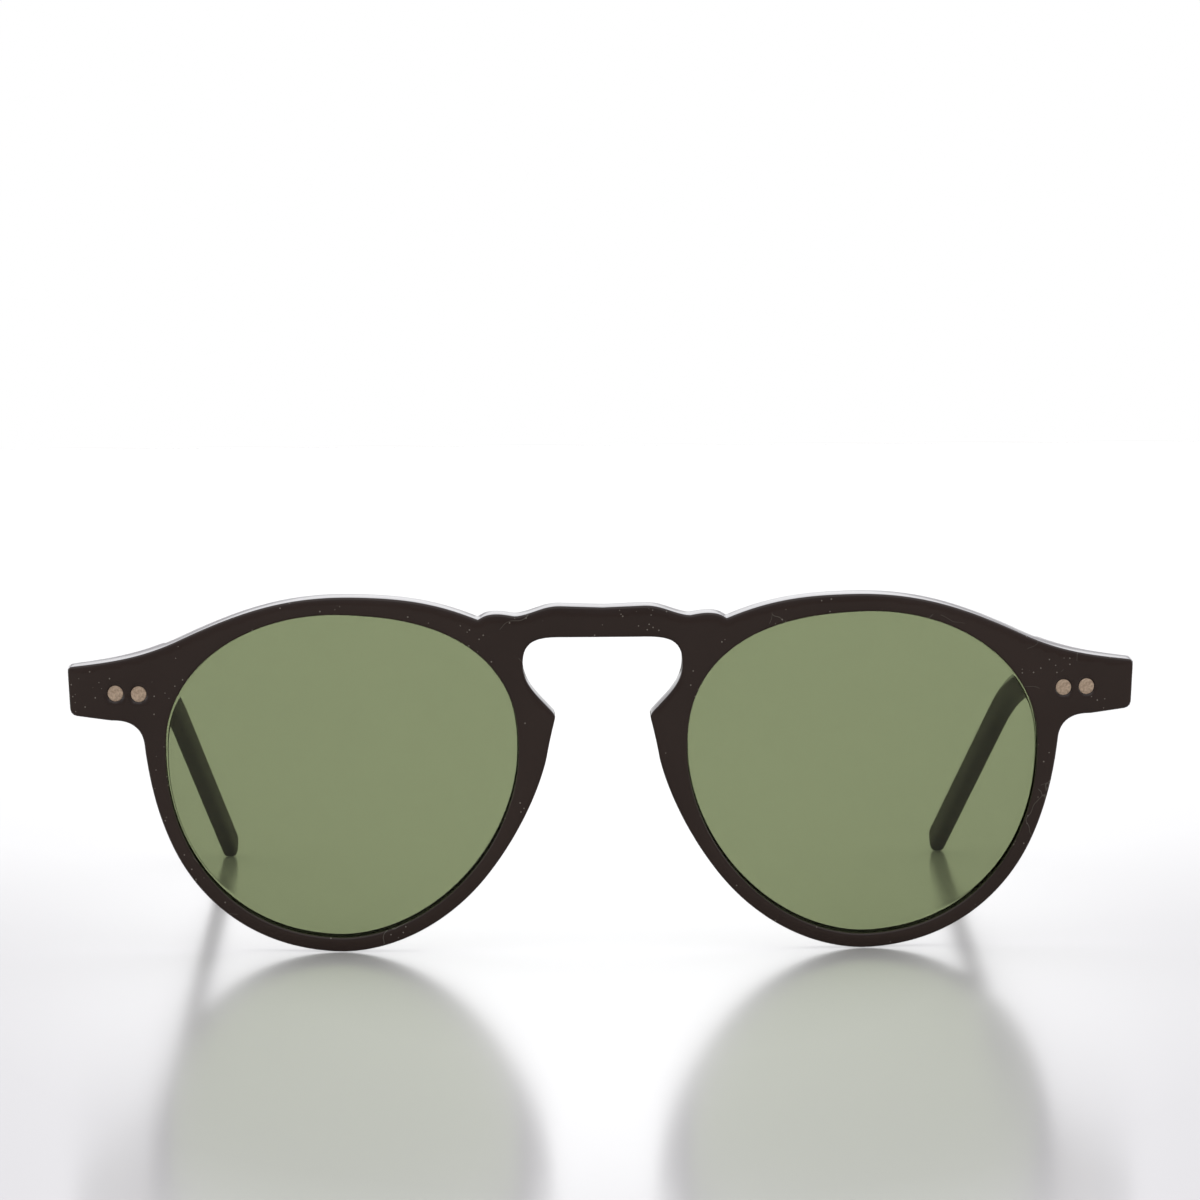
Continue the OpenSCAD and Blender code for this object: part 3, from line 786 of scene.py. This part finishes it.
def build_pad(side):
    """A nose pad as one closed skin: its crowned face, its back sunk in the front, and its wall."""
    skin = Skin()
    rows = pad_rows()
    backs = [[(x, bow(x, y, FRONT_T) - PAD_SUNK, y) for x, _, y in row] for row in rows]

    def rings(grid):
        return [skin.ring([front_place(side * x, depth, y) for x, depth, y in row]) for row in grid]

    top, base = rings(rows), rings(backs)
    for grid in (top, base):
        for a, b in zip(grid, grid[1:]):
            skin.faces += [(a[i], a[i + 1], b[i + 1], b[i]) for i in range(len(a) - 1)]
    last_r, last_c = PAD_ROWS - 1, PAD_COLUMNS - 1
    border = [(0, i) for i in range(last_c)] + [(i, last_c) for i in range(last_r)]
    border += [(last_r, i) for i in range(last_c, 0, -1)] + [(i, 0) for i in range(last_r, 0, -1)]
    skin.strip([top[r][c] for r, c in border], [base[r][c] for r, c in border])
    return skin


# The rivets, turned about their own axes

# How far the crowned head of a rivet rises, and how far its flattened end stands behind its leaf
HEAD_RISE = {"front": 0.03, "temple": 0.04}
FRONT_PEEN, TEMPLE_PEEN = 0.22, 0.27


def rivet_profile(length, rise):
    """Half a rivet as (radius, length) points: a slightly crowned head, the shank and a flattened end."""
    head = [(0.3, -rise), (0.62, -0.8 * rise), (0.86, -0.45 * rise), (0.98, -0.1 * rise)]
    head += [(RIVET_HEAD_R, 0.05), (RIVET_HEAD_R, RIVET_HEAD_H)]
    shank = [(RIVET_R, RIVET_HEAD_H), (RIVET_R, length - 0.22)]
    end = [(0.83, length - 0.2), (0.85, length - 0.12), (0.72, length - 0.03), (0.35, length)]
    return head + shank + end


def add_rivet(place_name, side_name, part, start, end, body, tilt=None, steps=40):
    """A rivet between two places. With a tilt, its head follows a face that isn't square to it."""
    axis = (end - start).normalized()
    turn = axis.to_track_quat("Z", "Y")
    skin = Skin()
    rings = []
    for radius, length in rivet_profile((end - start).length / MM, HEAD_RISE[part]):
        ring = []
        for k in range(steps):
            a = 2 * math.pi * k / steps
            place = turn @ (Vector((radius * math.cos(a), radius * math.sin(a), length)) * MM)
            if tilt is not None and length <= RIVET_HEAD_H / 2:
                place -= axis * (place.dot(tilt) / axis.dot(tilt) - length * MM)
            ring.append(place)
        rings.append(skin.ring(ring))
    skin.strips(rings)
    for ring in (rings[0], rings[-1]):
        skin.cap(ring, sum((skin.points[i] for i in ring), Vector()) / steps)
    name, node = f"rivet_{part}_{place_name}_{side_name}", f"{part}_rivet_{place_name}_{side_name}"
    add_piece(name, skin.points, skin.faces, "rivet", body, node, location=start)


def add_front_rivet(side_name, place_name, x):
    """A rivet of the front, square to the hinge leaf and with its head flush in the bowed face."""
    side = SIDES[side_name]
    start = front_place(side * x, bow(x, END_Y), END_Y)
    hinge_x = (x - HINGE_X) / math.cos(TOE_IN) - (AXIS_BACK + END_T) * math.tan(TOE_IN)
    end = hinge_place(side, hinge_x, LEAF_T - AXIS_BACK + FRONT_PEEN, 0)
    normal = (front_place(0, BOW_R, EYE_Y) - start).normalized()
    add_rivet(place_name, side_name, "front", start, end, "front", tilt=normal)


def add_temple_rivet(side_name, place_name, y):
    """A rivet of the temple, from its outer face to behind the leaf on its inner face."""
    side = SIDES[side_name]
    z = -y * math.tan(TEMPLE_FALL)
    start = hinge_place(side, TEMPLE_OUT, y, z)
    end = hinge_place(side, TEMPLE_IN - TEMPLE_PEEN, y, z)
    add_rivet(place_name, side_name, "temple", start, end, f"temple_{side_name}")


# Floor, light and camera

# The camera's place and turn about the middle of the front
CAMERA_DISTANCE, CAMERA_HEIGHT = 750.0, 83.0
CAMERA_TURN, CAMERA_ROLL = math.radians(1.2), math.radians(-0.36)
SENSOR = 36.0
# In pixels of the square picture: the focal length, the side, the horizon below the top and the middle
FOCAL_PX, IMAGE_PX, HORIZON_PX = 5720.0, 1200.0, 320.2
MIDDLE_PX = (601.7, 601.4)

# Sizes of the floor are in metres. Painted shade darkens it towards the viewer from FADE_START to FADE_END,
# and to both sides by SIDE_FADE a metre, which sets in between SIDE_START and FADE_START.
FLOOR_HALF = 3.0
FADE_START, FADE_END = -0.06, -0.28
SIDE_START, SIDE_FADE = 0.25, 12.0
# The first white is the floor's own colour, and the darker ones are painted shade
FLOOR_WHITE_AND_PAINTED_SHADE = [(0.0, (0.98, 0.98, 0.98)), (0.55, (0.95, 0.945, 0.955)), (1.0, (0.79, 0.78, 0.8))]
# Painted shade: the floor as the glasses' polished faces mirror it, grey in place of white
FLOOR_MIRRORED_PAINTED_SHADE = (0.27, 0.26, 0.25, 1)

# Levels of the room as polished surfaces see it
BACK_LOW, BACK_PANEL, TOP = (1.1, 1.1, 1.11), (1.95, 1.95, 2.0), (0.8, 0.8, 0.84)
FRONT_LOW, FRONT_HIGH = (0.17, 0.155, 0.15), (0.24, 0.25, 0.27)
CORNER = (0.62, 0.6, 0.64)


def add_floor():
    """A pale polished table with painted shade: darker towards the viewer and its near sides, and grey where the
    glasses mirror it.
    """
    mesh = bpy.data.meshes.new("floor")
    corners = [(x * FLOOR_HALF, y * FLOOR_HALF, 0) for x, y in ((-1, -1), (1, -1), (1, 1), (-1, 1))]
    mesh.from_pydata(corners, [], [(0, 1, 2, 3)])
    floor = bpy.data.objects.new("floor", mesh)
    bpy.context.scene.collection.objects.link(floor)
    s = Shader("floor_white")
    s.put(Roughness=0.14, IOR=1.5)
    x, y, _ = s.split(s.place)
    # Painted shade: how far into the darker edges of the floor a point lies
    side = s.maths("MULTIPLY", s.maths("MULTIPLY", x, s.span(y, SIDE_START, FADE_START)), SIDE_FADE)
    away = s.node("CombineXYZ", {"X": side, "Y": s.span(y, FADE_START, FADE_END)}).outputs["Vector"]
    away = s.node("VectorMath", {0: away}, operation="LENGTH").outputs["Value"]
    path = s.node("LightPath").outputs
    mirrored = s.maths("SUBTRACT", path["Is Glossy Ray"], path["Is Transmission Ray"])
    # Painted shade: glossy rays see the floor grey instead of white
    s.link(s.mix(mirrored, s.ramp(away, FLOOR_WHITE_AND_PAINTED_SHADE), FLOOR_MIRRORED_PAINTED_SHADE), "Base Color")
    s.link(s.span(mirrored, 0.0, 1.0, 0.5, 0.0), "Specular IOR Level")
    s.link(s.span(mirrored, 0.0, 1.0, 0.15, 0.0), "Metallic")
    mesh.materials.append(s.material)


def half_level(level):
    """Colour ramps end at 1, so the room is made at half its levels and doubled."""
    return tuple(v / 2 for v in level)


def add_world():
    """A white room. Only polished surfaces see its dark front and its bright panel behind."""
    world = bpy.data.worlds.new("studio")
    bpy.context.scene.world = world
    world.use_nodes = True
    nodes = Nodes(world.node_tree)
    # The direction in which a ray looks
    x, y, z = nodes.split(nodes.node("TexCoord").outputs["Generated"])

    def levels(*stops):
        return nodes.ramp(z, [(height, half_level(level)) for height, level in stops], "EASE")

    behind = levels((0.0, BACK_LOW), (0.17, BACK_LOW), (0.24, BACK_PANEL), (0.34, BACK_PANEL), (0.5, TOP))
    front = levels((0.0, FRONT_LOW), (0.5, FRONT_HIGH), (0.8, TOP))

    # Two dim patches low behind the glasses, one on each side of where the camera looks
    aside = nodes.maths("ABSOLUTE", nodes.maths("SUBTRACT", x, math.sin(CAMERA_TURN)))
    corner = nodes.maths("MULTIPLY", nodes.span(aside, 0.03, 0.1), nodes.span(aside, 0.35, 0.2))
    corner = nodes.maths("MULTIPLY", corner, nodes.span(z, 0.085, 0.16))
    corner = nodes.maths("MULTIPLY", corner, nodes.span(z, 0.24, 0.17))
    behind = nodes.mix(corner, behind, (*half_level(CORNER), 1))

    room = nodes.mix(nodes.span(y, -0.35, 0.2), front, behind)
    room = nodes.node("VectorMath", {0: room, 1: (2, 2, 2)}, operation="MULTIPLY").outputs["Vector"]
    path = nodes.node("LightPath").outputs
    clear = nodes.maths("SUBTRACT", 1.0, path["Is Transmission Ray"])
    mirrored = nodes.maths("MULTIPLY", path["Is Glossy Ray"], clear)
    seen = nodes.mix(mirrored, (1, 1, 1, 1), room)
    nodes.tree.links.new(seen, nodes.tree.nodes["Background"].inputs["Color"])


def add_camera():
    """A long lens in front of the glasses, whose picture is shifted to the photograph's framing."""
    data = bpy.data.cameras.new("camera")
    camera = bpy.data.objects.new("camera", data)
    bpy.context.scene.collection.objects.link(camera)
    bpy.context.scene.camera = camera
    data.sensor_width = SENSOR
    data.lens = FOCAL_PX / IMAGE_PX * SENSOR
    data.shift_x = (IMAGE_PX / 2 - MIDDLE_PX[0]) / IMAGE_PX
    data.shift_y = (MIDDLE_PX[1] - IMAGE_PX / 2) / IMAGE_PX
    data.clip_start = 0.05
    data.clip_end = 50
    pitch = math.atan((IMAGE_PX / 2 - HORIZON_PX) / FOCAL_PX)
    s, c = math.sin(CAMERA_TURN), math.cos(CAMERA_TURN)
    ahead = Vector((s * math.cos(pitch), c * math.cos(pitch), -math.sin(pitch)))
    camera.location = Vector((-s * CAMERA_DISTANCE, -c * CAMERA_DISTANCE - MID_Y, CAMERA_HEIGHT)) * MM
    camera.rotation_mode = "QUATERNION"
    camera.rotation_quaternion = ahead.to_track_quat("-Z", "Y") @ Quaternion((0, 0, 1), CAMERA_ROLL)


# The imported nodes, of which the hinge leaves, screws and wires are shown

WORN_EDGE = 0.08


def finish_nodes():
    """Gives each node the material of its slot, and the hinges a small worn edge."""
    slots = {part["node"]: part["material_slot"] for part in frame["record"]["subparts"]}
    for node in frame["nodes"].values():
        slot = slots[node.name]
        for place in node.material_slots:
            place.material = MATERIALS[slot]
        if slot == "hinge_steel" and "core" not in node.name:
            edge = node.modifiers.new("worn_edges", "BEVEL")
            edge.width = WORN_EDGE * MM
            edge.segments = 2
            edge.limit_method = "ANGLE"
            edge.angle_limit = math.radians(40)


build_front().add("front_polished", "acetate", "front", "front_frame")
for side_name, side in SIDES.items():
    arm = f"temple_{side_name}"
    build_lens(side).add(f"lens_glass_{side_name}", "lens", "front", f"lens_{side_name}")
    build_temple(side).add(f"temple_arm_{side_name}", "acetate", arm, arm)
    build_pad(side).add(f"pad_{side_name}", "acetate", "front", f"nose_pad_{side_name}")
    for place_name, x in FRONT_RIVETS.items():
        add_front_rivet(side_name, place_name, x)
    for place_name, y in TEMPLE_RIVETS.items():
        add_temple_rivet(side_name, place_name, y)
finish_nodes()
add_floor()
add_world()
add_camera()
bpy.context.scene.view_settings.view_transform = "Standard"
